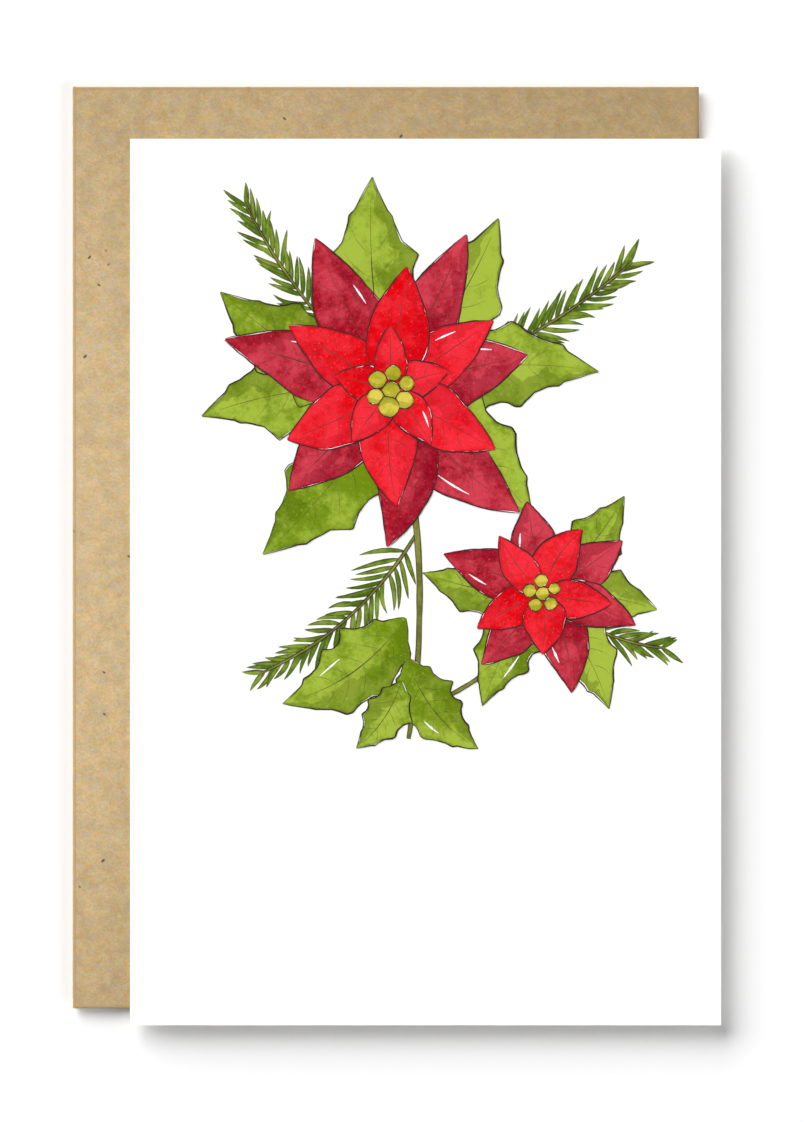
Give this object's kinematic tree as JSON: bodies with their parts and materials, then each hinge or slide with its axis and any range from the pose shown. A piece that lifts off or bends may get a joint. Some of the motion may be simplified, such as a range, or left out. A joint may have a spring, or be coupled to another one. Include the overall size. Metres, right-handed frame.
{
  "type": "greeting card with envelope",
  "caption": "Folded white greeting card with a printed cover that opens on its spine, lying on a plain kraft envelope whose seal flap is folded beneath.",
  "frame": {"origin": "under the middle of the whole outline, on the surface that the envelope lies on", "axes": "+Y up the card as it is read, +X to its right, +Z out of the card's cover, away from the surface"},
  "size_m": [0.1116, 0.1616, 0.0031],
  "materials": {
    "kraft_paper": "matte",
    "white_card_stock": "matte"
  },
  "bodies": {
    "envelope_and_card_back": {"envelope_face_panel": "kraft_paper", "envelope_back_panel": "kraft_paper", "envelope_side_flap_top": "kraft_paper", "envelope_side_flap_bottom": "kraft_paper", "envelope_long_fold": "kraft_paper", "envelope_top_fold": "kraft_paper", "envelope_bottom_fold": "kraft_paper", "card_back_panel": "white_card_stock"},
    "seal_flap": {"envelope_seal_flap": "kraft_paper"},
    "card_cover": {"card_front_panel": "white_card_stock"}
  },
  "joints": [
    {"name": "cover_hinge", "type": "hinge", "parent": "envelope_and_card_back", "child": "card_cover", "pos_m": [-0.04525, -0.00455, 0.00255], "axis": [0, -1, 0], "range_deg": [0, 180]},
    {"name": "seal_flap_hinge", "type": "hinge", "parent": "envelope_and_card_back", "child": "seal_flap", "pos_m": [0.0513, 0.00137, 0.00085], "axis": [0, -1, 0], "range_deg": [0, 180]}
  ]
}
